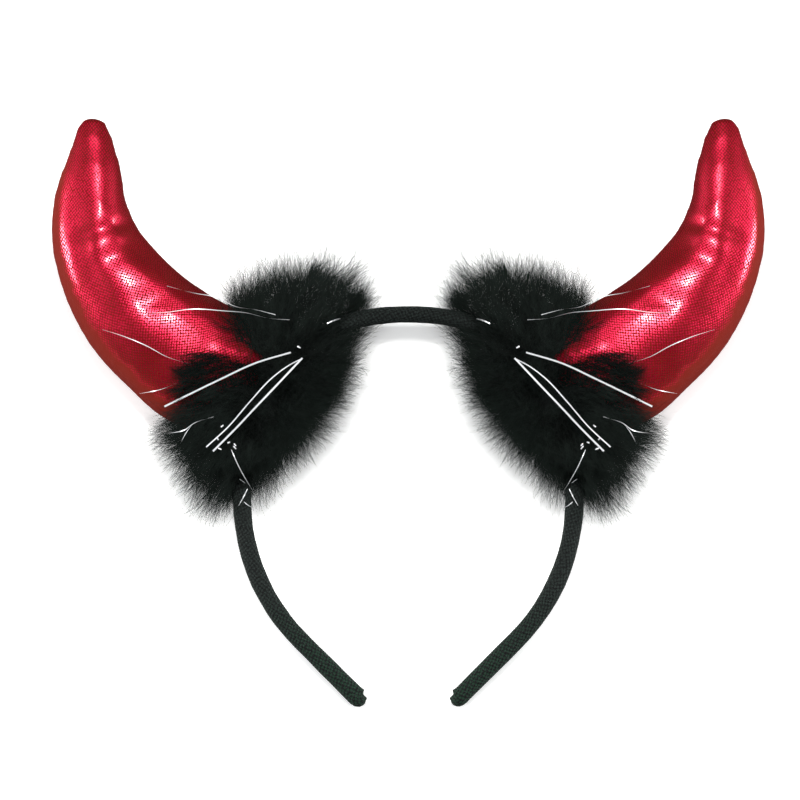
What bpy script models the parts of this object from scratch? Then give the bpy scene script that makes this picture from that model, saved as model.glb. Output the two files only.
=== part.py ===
"""Devil horns headband: a covered hoop, two stuffed horns seated on its shoulders and a marabou collar
round the base of each horn. It lies on its back, on the horns, the collars and the tips of the hoop.

Everything is modelled flat, with the hoop in the XY plane, its widest line on Y = 0 and the front
facing +Z. One empty then carries the slope that the object takes where it lies.
"""

import math

import bmesh
import bpy
import numpy as np
from mathutils import Matrix, Vector

# Hoop, in metres and degrees
HOOP_HALF_WIDTH = 0.0632  # from the middle to the centre of the hoop, on its widest line
HOOP_CROWN = 0.0705  # from the widest line up to the centre of the hoop's top
CROWN_FULLNESS = 2.3  # 2 is an ellipse, and more has fuller shoulders
LEG_RADIUS = 0.0752  # the bend below the widest line
LEG_TURN = 45.0  # how far the legs turn inwards
LEG_RUN = 0.0345  # the straight end of a leg
HOOP_THICKNESS = 0.0070  # seen from the front, on the legs
HOOP_TOP_THICKNESS = 0.0064
HOOP_DEPTH = 0.0080  # front to back
TIP_LENGTH = 0.0030  # of the rounding at each tip
TIP_TAPER = 0.75  # 0 is cut square and 1 is a full dome, and between them the tip ends flat

# Horns
SEAT_TURN = 33.0  # place on the crown, from the widest line, where a horn's middle sits
HORN_REACH = 0.0667  # from the seat out to the outermost point of the middle line
HORN_RISE = 0.1040  # from the seat up to the tip
HORN_WIDTH = 0.0515  # at the fullest section
HORN_DEPTH = 0.0360  # front to back, at the fullest section
SEAM_PINCH = 1.12  # 1 is an oval section, and more has sharper seams
HORN_PRESS = 0.0012  # how far the cloth is flattened where a horn's back rests

# Marabou collars
FUR_REACH = 0.0558  # from the seat to the ends of the longest locks
FUR_FRONT = 0.0300  # from the hoop's middle plane forwards
LOCK_LENGTH = 0.0042  # from the hollows between the locks to their ends
LOCK_SHARE = 0.45  # of the points on a collar, the others being hollows between the locks
LOCK_ENDS = (0.0, 0.25)  # how far back the ends stay, as shares of LOCK_LENGTH
LOCK_HOLLOWS = (0.7, 1.1)  # how far back the hollows lie, as shares of LOCK_LENGTH

GAP = 0.0003  # between pieces that touch
SURFACE_BLOCK = 4 * HORN_RISE  # side of the block that stands for the surface below

# How finely the surfaces are divided
HOOP_STATIONS = 72
HOOP_RESOLUTION = 4
TIP_RINGS = 5
HORN_RINGS = 44
HORN_SIDES = 26
RING_CROWDING = 1.5  # 1 spaces the rings evenly, and more crowds them towards the tip
LOCK_BALL = 4  # the ball's subdivisions, which give 642 points

# The sections of a horn from inside the hoop to the tip.
# out and up place the middle: shares of HORN_REACH and HORN_RISE, counted from the seat.
# width and depth are shares of HORN_WIDTH and HORN_DEPTH.
HORN_SECTIONS = (
    # out, up, width, depth
    (-0.180, -0.055, 0.86, 0.50),
    (0.000, 0.000, 0.90, 0.62),
    (0.203, 0.052, 0.97, 0.82),
    (0.396, 0.110, 1.00, 0.96),
    (0.537, 0.179, 0.95, 1.00),
    (0.674, 0.254, 0.91, 0.97),
    (0.790, 0.341, 0.855, 0.91),
    (0.892, 0.445, 0.775, 0.83),
    (0.954, 0.532, 0.70, 0.76),
    (0.990, 0.632, 0.625, 0.68),
    (1.000, 0.715, 0.555, 0.60),
    (0.994, 0.805, 0.465, 0.50),
    (0.996, 0.879, 0.36, 0.39),
    (1.003, 0.945, 0.26, 0.27),
    (1.010, 0.985, 0.145, 0.15),
    (1.011, 1.000, 0.00, 0.00),
)

# The dents and folds in the cloth of a horn.
# along is a share of the middle line, across runs from -1 at the outer seam to 1 at the inner seam,
# and slant is how far along a fold drifts for each unit across.
# length and breadth are the fold's half sizes along and across, and depth is a share of HORN_DEPTH.
HORN_FOLDS = (
    # side, along, across, slant, length, breadth, depth
    (1, 0.640, 0.50, 0.030, 0.020, 0.50, 0.050),
    (1, 0.590, 0.90, 0.020, 0.018, 0.35, 0.035),
    (1, 0.480, 0.25, -0.060, 0.030, 0.40, 0.035),
    (1, 0.340, -0.45, 0.070, 0.028, 0.40, 0.035),
    (1, 0.430, -0.85, 0.060, 0.045, 0.25, 0.035),
    (1, 0.770, -0.35, 0.000, 0.060, 0.25, 0.030),
    (-1, 0.620, 0.40, 0.040, 0.022, 0.50, 0.045),
    (-1, 0.470, -0.30, -0.060, 0.035, 0.40, 0.035),
    (-1, 0.300, 0.60, 0.050, 0.030, 0.35, 0.030),
)

# A marabou collar round the seat of its horn: the clock angle in degrees, counted from the middle of
# the object towards the top, the reach there as a share of FUR_REACH, and how far the fur stands
# forwards there as a share of FUR_FRONT. It parts over the upper side of the horn.
FUR_OUTLINE = (
    # angle, reach, front
    (0.0, 0.52, 1.00),
    (22.5, 0.63, 1.00),
    (45.0, 1.00, 0.95),
    (67.5, 0.97, 0.90),
    (90.0, 0.78, 0.85),
    (112.5, 0.70, 0.65),
    (135.0, 0.61, 0.55),
    (157.5, 0.56, 0.65),
    (180.0, 0.66, 1.00),
    (202.5, 0.80, 1.00),
    (225.0, 0.79, 1.00),
    (247.5, 0.87, 0.95),
    (270.0, 0.60, 0.95),
    (292.5, 0.46, 1.00),
    (315.0, 0.44, 1.00),
    (337.5, 0.46, 1.00),
)


def clear_scene():
    for item in list(bpy.data.objects):
        bpy.data.objects.remove(item, do_unlink=True)


def new_collection(name):
    made = bpy.data.collections.new(name)
    bpy.context.scene.collection.children.link(made)
    return made


def new_material(name, colour, roughness, metallic):
    made = bpy.data.materials.new(name)
    made.use_nodes = True
    shader = made.node_tree.nodes["Principled BSDF"]
    shader.inputs["Base Color"].default_value = (*colour, 1.0)
    shader.inputs["Roughness"].default_value = roughness
    shader.inputs["Metallic"].default_value = metallic
    made.diffuse_color = (*colour, 1.0)
    return made


def mesh_from(bm, name):
    bmesh.ops.recalc_face_normals(bm, faces=bm.faces)
    mesh = bpy.data.meshes.new(name)
    bm.to_mesh(mesh)
    bm.free()
    mesh.shade_smooth()
    return mesh


def place(name, mesh, collection, material=None):
    made = bpy.data.objects.new(name, mesh)
    if material:
        mesh.materials.clear()
        mesh.materials.append(material)
    collection.objects.link(made)
    return made


def place_cutter(name, mesh, collection):
    made = place(name, mesh, collection)
    made.hide_render = True
    made.display_type = "WIRE"
    return made


def evaluated_mesh(item):
    graph = bpy.context.evaluated_depsgraph_get()
    return bpy.data.meshes.new_from_object(item.evaluated_get(graph))


def cut(item, *cutters):
    """Takes the cutters out of an object, and keeps what is left as its mesh."""
    for cutter in cutters:
        modifier = item.modifiers.new("clear " + cutter.name, "BOOLEAN")
        modifier.operation = "DIFFERENCE"
        modifier.solver = "MANIFOLD"
        modifier.object = cutter
    mesh = evaluated_mesh(item)
    item.modifiers.clear()
    item.data = mesh


def mirrored(mesh, name):
    """The same mesh on the other side of the object's middle."""
    bm = bmesh.new()
    bm.from_mesh(mesh)
    bmesh.ops.transform(bm, matrix=Matrix.Scale(-1, 4, (1, 0, 0)), verts=bm.verts)
    bmesh.ops.reverse_faces(bm, faces=bm.faces)
    made = bpy.data.meshes.new(name)
    bm.to_mesh(made)
    bm.free()
    return made


def lengths_along(points):
    """The distance from the first point to each, along the line."""
    steps = np.linalg.norm(np.diff(points[:, :2], axis=0), axis=1)
    return np.concatenate([[0.0], np.cumsum(steps)])


def smooth_rows(rows, shares):
    """Rows read at shares of the line's length, on a smooth curve through all of them."""
    rows = np.asarray(rows, float)
    along = lengths_along(rows)
    along /= along[-1]
    slopes = np.gradient(rows, along, axis=0)
    low = np.clip(np.searchsorted(along, shares, side="right") - 1, 0, len(rows) - 2)
    span = (along[low + 1] - along[low])[:, None]
    t = (np.asarray(shares) - along[low])[:, None] / span
    start, end = rows[low], rows[low + 1]
    start_slope, end_slope = slopes[low] * span, slopes[low + 1] * span
    return (
        start * (1 + 2 * t) * (1 - t) ** 2
        + start_slope * t * (1 - t) ** 2
        + end * (3 - 2 * t) * t**2
        + end_slope * (t - 1) * t**2
    )


def crown_point(turn):
    """A point on the left half of the crown, turn degrees up from the widest line."""
    power = 2 / CROWN_FULLNESS
    angle = math.radians(turn)
    return (
        -HOOP_HALF_WIDTH * math.cos(angle) ** power,
        HOOP_CROWN * math.sin(angle) ** power,
    )


def leg_point(turn):
    """A point on the left leg's bend, where the hoop has turned inwards by turn degrees."""
    angle = math.radians(turn)
    return (
        -HOOP_HALF_WIDTH + LEG_RADIUS * (1 - math.cos(angle)),
        -LEG_RADIUS * math.sin(angle),
    )


def hoop_line():
    """The middle line of the hoop from the left tip over the top to the right tip, evenly spaced."""
    heading = math.radians(LEG_TURN)
    bend_end = leg_point(LEG_TURN)
    tip = (
        bend_end[0] + LEG_RUN * math.sin(heading),
        bend_end[1] - LEG_RUN * math.cos(heading),
    )
    bend = [leg_point(turn) for turn in np.linspace(LEG_TURN, 0, 60)]
    crown = [crown_point(turn) for turn in np.linspace(0, 90, 240)[1:]]
    left = np.array([tip, *bend, *crown])
    right = left[-2::-1] * (-1, 1)
    line = np.vstack([left, right])
    along = lengths_along(line)
    even = np.linspace(0, along[-1], HOOP_STATIONS)
    return np.column_stack([np.interp(even, along, line[:, axis]) for axis in (0, 1)])


def hoop_radii(line):
    """Half the hoop's thickness at each point: thinner over the top, and rounded off at the tips."""
    along = lengths_along(line)
    over_the_top = np.clip(line[:, 1] / HOOP_CROWN, 0, 1) ** 2
    radii = (HOOP_THICKNESS + (HOOP_TOP_THICKNESS - HOOP_THICKNESS) * over_the_top) / 2
    from_tip = np.minimum(along, along[-1] - along)
    inside = np.clip(from_tip / TIP_LENGTH, 0, 1)
    return radii * np.sqrt(1 - TIP_TAPER * (1 - inside) ** 2)


def hoop_mesh(name, grow=0.0):
    """The hoop as a round tube squeezed to an oval, thicker by grow on every side."""
    line = hoop_line()
    along = lengths_along(line)
    tip = TIP_LENGTH * np.linspace(0, 1, TIP_RINGS) ** 2
    middle = np.linspace(2 * TIP_LENGTH, along[-1] - 2 * TIP_LENGTH, HOOP_STATIONS)
    even = np.concatenate([tip, middle, along[-1] - tip[::-1]])
    line = np.column_stack([np.interp(even, along, line[:, axis]) for axis in (0, 1)])
    radii = hoop_radii(line) + grow
    curve = bpy.data.curves.new(name, "CURVE")
    curve.dimensions = "3D"
    curve.twist_mode = "Z_UP"
    curve.bevel_depth = HOOP_THICKNESS / 2
    curve.bevel_resolution = HOOP_RESOLUTION
    curve.use_fill_caps = True
    spline = curve.splines.new("POLY")
    spline.points.add(len(line) - 1)
    for point, (x, y), radius in zip(spline.points, line, radii):
        point.co = (x, y, 0, 1)
        point.radius = radius / curve.bevel_depth
    guide = bpy.data.objects.new(name, curve)
    bpy.context.scene.collection.objects.link(guide)
    tube = evaluated_mesh(guide)
    bpy.data.objects.remove(guide)
    bm = bmesh.new()
    bm.from_mesh(tube)
    bmesh.ops.remove_doubles(bm, verts=bm.verts, dist=1e-6)
    oval = (HOOP_DEPTH / 2 + grow) / (HOOP_THICKNESS / 2 + grow)
    bmesh.ops.scale(bm, vec=(1, 1, oval), verts=bm.verts)
    return mesh_from(bm, name)


def saddle_mesh(name, clearance):
    """The inside of the hoop and the hoop itself, as one thick plate that a horn's base fits against."""
    line = hoop_line()
    tangents = np.gradient(line, axis=0)
    tangents /= np.linalg.norm(tangents, axis=1)[:, None]
    outwards = np.column_stack([-tangents[:, 1], tangents[:, 0]])
    edge = line + outwards * (hoop_radii(line) + clearance)[:, None]
    bm = bmesh.new()
    face = bm.faces.new([bm.verts.new((x, y, -HORN_DEPTH)) for x, y in edge])
    top = bmesh.ops.extrude_face_region(bm, geom=[face])["geom"]
    raised = [item for item in top if isinstance(item, bmesh.types.BMVert)]
    bmesh.ops.translate(bm, vec=(0, 0, 2 * HORN_DEPTH), verts=raised)
    return mesh_from(bm, name)


def fold_depth(side, along, across):
    """How far the folds pull the cloth in at one place on a horn."""
    total = 0.0
    for fold_side, at, where, slant, length, breadth, depth in HORN_FOLDS:
        if fold_side != side:
            continue
        off_along = (along - at - slant * (across - where)) / length
        off_across = (across - where) / breadth
        total += depth * HORN_DEPTH * math.exp(-(off_along**2) - off_across**2)
    return total


def horn_ring(middle, inwards, along, width, depth, grow):
    """One section of a horn: two curved panels that meet at the seams."""
    ring = []
    for step in range(HORN_SIDES):
        turn = 2 * math.pi * step / HORN_SIDES
        across = math.cos(turn)
        height = math.copysign(abs(math.sin(turn)) ** SEAM_PINCH, math.sin(turn))
        side = 1 if height > 0 else -1
        rise = height * (depth + grow - fold_depth(side, along, across))
        x, y = middle + inwards * across * (width + grow)
        ring.append((x, y, rise))
    return ring


def horn_mesh(name, grow=0.0):
    """The left horn, lofted through its sections, larger by grow on every side."""
    seat = np.array(crown_point(SEAT_TURN))
    scale = (-HORN_REACH, HORN_RISE, HORN_WIDTH / 2, HORN_DEPTH / 2)
    rows = np.array(HORN_SECTIONS) * scale
    rows[:, :2] += seat
    shares = 1 - np.linspace(1, 0, HORN_RINGS + 1) ** RING_CROWDING
    sections = smooth_rows(rows, shares)
    headings = np.gradient(sections[:, :2], axis=0)
    headings /= np.linalg.norm(headings, axis=1)[:, None]
    bm = bmesh.new()
    loops = []
    for section, heading, share in zip(sections[:-1], headings, shares):
        inwards = np.array([heading[1], -heading[0]])
        width, depth = np.maximum(section[2:], 0)
        ring = horn_ring(section[:2], inwards, share, width, depth, grow)
        loops.append([bm.verts.new(point) for point in ring])
    for lower, upper in zip(loops, loops[1:]):
        for i in range(HORN_SIDES):
            j = (i + 1) % HORN_SIDES
            bm.faces.new((lower[i], lower[j], upper[j], upper[i]))
    bm.faces.new(loops[0])
    tip_x, tip_y = sections[-1, :2] + headings[-1] * grow
    tip = bm.verts.new((tip_x, tip_y, 0))
    for i in range(HORN_SIDES):
        bm.faces.new((loops[-1][i], loops[-1][(i + 1) % HORN_SIDES], tip))
    return mesh_from(bm, name)


def collar_reach(direction):
    """How far a collar reaches from the seat in one direction, to the ends of its locks."""
    angles, reaches, fronts = np.array(FUR_OUTLINE).T
    clock = math.degrees(math.atan2(direction.y, direction.x))
    side = FUR_REACH * np.interp(clock, angles, reaches, period=360)
    front = FUR_FRONT * np.interp(clock, angles, fronts, period=360)
    flat = math.hypot(direction.x, direction.y)
    return 1 / math.hypot(flat / side, direction.z / front)


def collar_mesh(name):
    """The left marabou collar: a core with a lock drawn out at nearly every second point of a ball."""
    seat_x, seat_y = crown_point(SEAT_TURN)
    random = np.random.default_rng(11)
    bm = bmesh.new()
    bmesh.ops.create_icosphere(bm, subdivisions=LOCK_BALL, radius=1.0)
    for vertex in bm.verts:
        is_lock = random.random() < LOCK_SHARE
        held_back = random.uniform(*(LOCK_ENDS if is_lock else LOCK_HOLLOWS))
        direction = vertex.co.normalized()
        reach = collar_reach(direction) - held_back * LOCK_LENGTH
        vertex.co = direction * reach + Vector((seat_x, seat_y, 0))
    return mesh_from(bm, name)


def points_of(mesh):
    points = np.empty(len(mesh.vertices) * 3)
    mesh.vertices.foreach_get("co", points)
    return points.reshape(-1, 3)


def resting_place(hoop, horn):
    """The slope of the object where it lies, and its height above the surface.

    It lies on the tips of the hoop and on the horns' backs, which give way by HORN_PRESS.
    """
    hoop_points, horn_points = points_of(hoop), points_of(horn)
    tip_y = hoop_points[:, 1].min() + TIP_LENGTH
    run = horn_points[:, 1] - tip_y
    drop = -HOOP_DEPTH / 2 - horn_points[:, 2] - HORN_PRESS
    slope = np.arctan2(drop, run).max()
    heights = hoop_points[:, 1] * math.sin(slope) + hoop_points[:, 2] * math.cos(slope)
    return slope, -heights.min()


def surface_mesh(name, lying):
    """A block whose top is the surface that the object lies on."""
    bm = bmesh.new()
    bmesh.ops.create_cube(bm, size=1.0)
    below = Matrix.Translation((0, 0, -SURFACE_BLOCK / 2)) @ Matrix.Scale(SURFACE_BLOCK, 4)
    bmesh.ops.transform(bm, matrix=lying.inverted() @ below, verts=bm.verts)
    return mesh_from(bm, name)


def press_flat(mesh, lying):
    """Flattens against the surface whatever would lie below it."""
    raised = lying.inverted()
    for vertex in mesh.vertices:
        point = lying @ vertex.co
        if point.z < 0:
            point.z = 0
            vertex.co = raised @ point


def largest_body(mesh):
    """Drops the lock ends that a cut left loose, so that one body stays."""
    bm = bmesh.new()
    bm.from_mesh(mesh)
    waiting = set(bm.faces)
    bodies = []
    while waiting:
        body, reached = set(), [waiting.pop()]
        while reached:
            face = reached.pop()
            body.add(face)
            for edge in face.edges:
                beyond = waiting.intersection(edge.link_faces)
                if len(edge.link_faces) == 2:
                    waiting -= beyond
                    reached.extend(beyond)
        bodies.append(body)
    bodies.sort(key=len)
    loose = [face for body in bodies[:-1] for face in body]
    bmesh.ops.delete(bm, geom=loose, context="FACES")
    bm.to_mesh(mesh)
    bm.free()


def centre_on_origin(base, parts):
    """Moves the whole object so that the middle of its footprint is on the origin."""
    bpy.context.view_layer.update()
    spans = []
    for part in parts:
        world = np.array(part.matrix_world)
        points = points_of(part.data) @ world[:3, :3].T + world[:3, 3]
        spans.append((points.min(axis=0), points.max(axis=0)))
    low = np.min([span[0] for span in spans], axis=0)
    high = np.max([span[1] for span in spans], axis=0)
    base.location.x -= (low[0] + high[0]) / 2
    base.location.y -= (low[1] + high[1]) / 2


def build():
    clear_scene()
    parts = new_collection("devil_horns_headband")
    cutters = new_collection("cutters")
    knit = new_material("black knit sleeve", (0.012, 0.014, 0.013), 0.9, 0.0)
    foil = new_material("red foil knit", (0.33, 0.008, 0.016), 0.32, 0.55)
    marabou = new_material("black marabou", (0.006, 0.009, 0.008), 0.95, 0.0)

    hoop = hoop_mesh("headband")
    horn = horn_mesh("horn_left")
    slope, height = resting_place(hoop, horn)
    lying = Matrix.Translation((0, 0, height)) @ Matrix.Rotation(slope, 4, "X")

    hoop_space = place_cutter("hoop space", hoop_mesh("hoop space", GAP), cutters)
    saddle = place_cutter("saddle", saddle_mesh("saddle", GAP), cutters)
    inner_saddle = saddle_mesh("inner saddle", -HOOP_THICKNESS / 4)
    inner_saddle = place_cutter("inner saddle", inner_saddle, cutters)
    horn_space = place_cutter("horn space", horn_mesh("horn space", GAP), cutters)
    cut(horn_space, inner_saddle)

    headband = place("headband", hoop, parts, knit)
    press_flat(horn, lying)
    horn_left = place("horn_left", horn, parts, foil)
    cut(horn_left, saddle)
    surface = place_cutter("surface", surface_mesh("surface", lying), cutters)
    marabou_left = place("marabou_left", collar_mesh("marabou_left"), parts, marabou)
    cut(marabou_left, surface, horn_space, hoop_space)
    largest_body(marabou_left.data)
    horn_right = place("horn_right", mirrored(horn_left.data, "horn_right"), parts, foil)
    collar_right = mirrored(marabou_left.data, "marabou_right")
    marabou_right = place("marabou_right", collar_right, parts, marabou)

    base = bpy.data.objects.new("lying place", None)
    parts.objects.link(base)
    base.matrix_world = lying
    pieces = (headband, horn_left, horn_right, marabou_left, marabou_right)
    for piece in pieces:
        piece.parent = base
    centre_on_origin(base, pieces)


build()
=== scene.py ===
"""Looks of the devil horns headband: foil-knit horns, marabou collars, tinsel and a knit sleeve.

Every piece is made flat, with the hoop's middle plane as Z = 0, and then laid in the slope of the CAD
model. Only the left half is made. The right half is its mirror image.
"""

import math

import bmesh
import bpy
import numpy as np
from mathutils import Matrix, Vector
from mathutils.bvhtree import BVHTree


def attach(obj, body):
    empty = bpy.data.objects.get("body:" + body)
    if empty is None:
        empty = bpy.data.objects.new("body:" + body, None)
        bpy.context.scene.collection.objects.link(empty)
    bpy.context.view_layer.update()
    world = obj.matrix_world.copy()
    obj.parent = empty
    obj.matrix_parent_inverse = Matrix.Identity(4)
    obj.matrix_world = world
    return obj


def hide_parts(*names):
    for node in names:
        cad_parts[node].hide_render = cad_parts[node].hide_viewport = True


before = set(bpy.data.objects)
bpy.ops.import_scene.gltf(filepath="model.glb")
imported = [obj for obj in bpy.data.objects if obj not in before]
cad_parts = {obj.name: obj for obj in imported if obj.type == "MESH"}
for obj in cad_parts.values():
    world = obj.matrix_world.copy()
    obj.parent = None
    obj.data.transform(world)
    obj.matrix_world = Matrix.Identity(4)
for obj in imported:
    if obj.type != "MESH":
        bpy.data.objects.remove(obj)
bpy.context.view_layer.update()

MM = 0.001
PIXEL = 0.38 * MM  # one pixel of the photograph, on the hoop's middle plane
MIDDLE_COLUMN = 408.3  # the pixel column of the object's middle
TOP_ROW = 306  # the pixel row of the hoop's top
WIDEST_ROW = 500  # the pixel row of the hoop's widest line
PHOTO_CENTRE = (400, 400)
PHOTO_WIDTH = 800
SENSOR = 36.0
LENS = 200.0
CAMERA_HEIGHT = PHOTO_WIDTH * PIXEL * LENS / SENSOR  # above the hoop's middle plane

# Places below are columns and rows of the photograph, on the left half.
SEAT = (265.6, 390.7)  # where the horn's middle meets the hoop
HORN_MIDDLE = (
    (297.2, 405.8),
    (265.6, 390.7),
    (230.0, 376.5),
    (196.1, 360.6),
    (171.4, 341.7),
    (147.3, 321.2),
    (127.0, 297.4),
    (109.1, 268.9),
    (98.2, 245.1),
    (91.9, 217.7),
    (90.1, 195.0),
    (91.2, 170.4),
    (90.8, 150.1),
    (89.6, 132.0),
    (88.2, 112.0),
)

# Ridges, with a height above 0, and creases in the horn's cover: places, half breadth and height in mm.
FRONT_FOLDS = (
    (((95, 135), (98, 160), (101, 190), (98, 214), (88, 236)), 5.0, 0.5),
    (((62, 240), (80, 236), (95, 231), (109, 227), (124, 223), (146, 219)), 2.5, -0.75),
    (((84, 246), (106, 242), (130, 236)), 4.2, 0.3),
    (((96, 264), (124, 256), (152, 246)), 4.0, -0.5),
    (((56, 196), (59, 228), (66, 258), (75, 285), (90, 318)), 4.4, 0.5),
    (((74, 212), (82, 246), (95, 277), (112, 312)), 5.2, -0.5),
    (((126, 278), (143, 293)), 7.0, -0.35),
    (((166, 314), (190, 333)), 8.5, -0.6),
    (((138, 316), (158, 300), (176, 286)), 4.5, -0.5),
    (((206, 346), (236, 353), (262, 360)), 3.0, 0.8),
)
BACK_FOLDS = (
    (((80, 250), (105, 240), (132, 226)), 2.4, -1.2),
    (((88, 160), (94, 190), (92, 220)), 5.0, 0.9),
    (((110, 300), (140, 286), (165, 270)), 3.2, -0.8),
    (((84, 300), (104, 330), (128, 355)), 4.5, 0.8),
    (((150, 350), (175, 330), (200, 305)), 4.0, -0.6),
)

# Tinsel: places, width in mm, lift above what it lies on in mm, and turns of twist along it.
TINSEL = (
    (((134, 313.4), (163.3, 312.6), (193.9, 309), (224.5, 310.9), (244.9, 312.6), (270.4, 318.5),
      (289.5, 319.8)), 0.34, 1.6, 0.6),
    (((167, 286), (193.9, 293), (214.3, 296.8), (237.2, 307), (255, 309.6), (275.5, 314.7)),
     0.26, 1.4, 0.8),
    (((102, 329.5), (122.4, 335.9), (148, 346.6), (165.8, 356.3), (191.3, 364.4)), 0.30, 0.7, 0.5),
    (((164.5, 406.5), (219.4, 379.7), (255.1, 363.2), (290.8, 352.4)), 0.66, 2.4, 0.06),
    (((213, 451.2), (237.2, 426.9), (255.1, 407.8), (280.6, 381), (302.3, 358)), 0.70, 3.0, 0.05),
    (((206.3, 447), (228, 427), (250, 401.5), (272.5, 377.5), (289.5, 365), (301, 359)),
     0.50, 2.6, 0.12),
    (((231.3, 449.6), (238.3, 465.5), (245.9, 479.5), (253.9, 492.6)), 0.36, 2.2, 0.4),
    (((247.5, 488.8), (243.2, 497.5), (238.6, 505.7)), 0.34, 1.6, 0.3),
    (((244, 501.9), (248, 505.2), (252.3, 507.6)), 0.30, 1.2, 0.3),
    (((239.5, 478.9), (245, 483)), 0.30, 1.6, 0.2),
    (((164.3, 433.8), (185.7, 429.3), (192.9, 423.9), (213.4, 416.8)), 0.30, 1.8, 0.6),
    (((192.9, 423.9), (186.6, 432), (180.4, 443.6)), 0.28, 1.8, 0.5),
    (((178.6, 493.6), (185, 487.5), (191, 482)), 0.50, 1.2, 0.2),
    (((139.3, 393.7), (161.6, 389.2), (175.7, 383.5)), 0.22, 0.6, 0.5),
    (((221, 427), (223.5, 425)), 0.50, 2.6, 0.1),
    (((227.5, 443), (230, 442)), 0.55, 2.6, 0.1),
    (((233.5, 446), (236, 449)), 0.50, 2.6, 0.1),
    (((297.5, 346.2), (300.5, 348)), 0.55, 2.6, 0.1),
    (((217, 438), (218.5, 440)), 0.50, 2.6, 0.1),
    (((218, 448), (221.5, 449.5)), 0.45, 2.6, 0.1),
    (((234, 443.5), (236, 446)), 0.50, 2.6, 0.1),
    (((327, 323.5), (333, 320.8), (340, 318.6)), 0.45, 0.4, 0.1),
)


def sampled(points, count):
    """A smooth line through places of the photograph, as count flat points."""
    places = np.array([(flat_x(x), flat_y(y)) for x, y in points])
    if len(places) == 2:
        shares = np.linspace(0, 1, count)[:, None]
        return places[0] + (places[1] - places[0]) * shares
    steps = np.linalg.norm(np.diff(places, axis=0), axis=1)
    along = np.concatenate([[0.0], np.cumsum(steps)])
    slopes = np.gradient(places, along, axis=0)
    want = np.linspace(0, along[-1], count)
    low = np.clip(np.searchsorted(along, want, side="right") - 1, 0, len(places) - 2)
    span = (along[low + 1] - along[low])[:, None]
    t = (want - along[low])[:, None] / span
    return (
        places[low] * (1 + 2 * t) * (1 - t) ** 2
        + slopes[low] * span * t * (1 - t) ** 2
        + places[low + 1] * (3 - 2 * t) * t**2
        + slopes[low + 1] * span * (t - 1) * t**2
    )


def flat_x(column):
    return (column - MIDDLE_COLUMN) * PIXEL


def flat_y(row):
    return (WIDEST_ROW - row) * PIXEL


def raised(places, height):
    """Places of the hoop's middle plane, moved along the lines of sight to a height above it."""
    centre = np.array([flat_x(PHOTO_CENTRE[0]), flat_y(PHOTO_CENTRE[1])])
    return centre + (places - centre) * (1 - height / CAMERA_HEIGHT)


def points_of(mesh):
    points = np.empty(len(mesh.vertices) * 3)
    mesh.vertices.foreach_get("co", points)
    return points.reshape(-1, 3)


def set_points(mesh, points):
    mesh.vertices.foreach_set("co", points.astype(np.float32).ravel())
    mesh.update()


def lying_frame(hoop):
    """Where the hoop's middle plane lies: its origin and its axes, as the columns of a matrix."""
    points = points_of(hoop.data)
    _, _, axes = np.linalg.svd(points - points.mean(axis=0), full_matrices=False)
    front = Vector(axes[2])
    if front.z < 0:
        front.negate()
    front.x = 0
    front.normalize()
    side = Vector((1, 0, 0))
    up = front.cross(side)
    turned = np.array([side, up, front]).T
    flat = points @ turned
    spans = (flat.min(axis=0) + flat.max(axis=0)) / 2
    origin = turned @ np.array([0, flat[:, 1].max() - flat_y(TOP_ROW), spans[2]])
    return origin, turned


ORIGIN, AXES = lying_frame(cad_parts["headband"])


def to_flat(points):
    return (points - ORIGIN) @ AXES


def to_world(points):
    return points @ AXES.T + ORIGIN


def mesh_from(name, points, faces, smooth=True):
    mesh = bpy.data.meshes.new(name)
    mesh.from_pydata(points.tolist(), [], faces)
    if smooth:
        mesh.shade_smooth()
    return mesh


def place(name, mesh):
    made = bpy.data.objects.new(name, mesh)
    bpy.context.scene.collection.objects.link(made)
    return made


def evaluated_mesh(item):
    graph = bpy.context.evaluated_depsgraph_get()
    return bpy.data.meshes.new_from_object(item.evaluated_get(graph))


def applied(mesh, kind, **settings):
    """The mesh with one modifier applied."""
    item = place("work", mesh)
    modifier = item.modifiers.new("step", kind)
    for name, value in settings.items():
        setattr(modifier, name, value)
    made = evaluated_mesh(item)
    bpy.data.objects.remove(item)
    return made


def tree_of(mesh):
    faces = [tuple(face.vertices) for face in mesh.polygons]
    return BVHTree.FromPolygons(points_of(mesh).tolist(), faces)


def flat_copy(node):
    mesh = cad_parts[node].data.copy()
    set_points(mesh, to_flat(points_of(mesh)))
    return mesh


def smooth_step(low, high, values):
    t = np.clip((values - low) / (high - low), 0, 1)
    return t * t * (3 - 2 * t)


# Materials


def linear(hex_colour):
    """An sRGB hex colour as linear red, green, blue and alpha."""
    parts = [int(hex_colour[i : i + 2], 16) / 255 for i in (1, 3, 5)]
    return (*[c / 12.92 if c <= 0.04045 else ((c + 0.055) / 1.055) ** 2.4 for c in parts], 1.0)


def add_node(tree, kind, settings, inputs):
    """One node with its settings. Each input is a value or another node's output."""
    node = tree.nodes.new(kind)
    for name, value in settings.items():
        setattr(node, name, value)
    for key, value in inputs.items():
        if isinstance(value, bpy.types.NodeSocket):
            tree.links.new(value, node.inputs[key])
        else:
            node.inputs[key].default_value = value
    return node


def new_material(name):
    made = bpy.data.materials.new(name)
    made.use_nodes = True
    tree = made.node_tree
    tree.nodes.clear()
    return made, tree


def finish_material(tree, inputs):
    shader = add_node(tree, "ShaderNodeBsdfPrincipled", {}, inputs)
    add_node(tree, "ShaderNodeOutputMaterial", {}, {"Surface": shader.outputs["BSDF"]})


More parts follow.
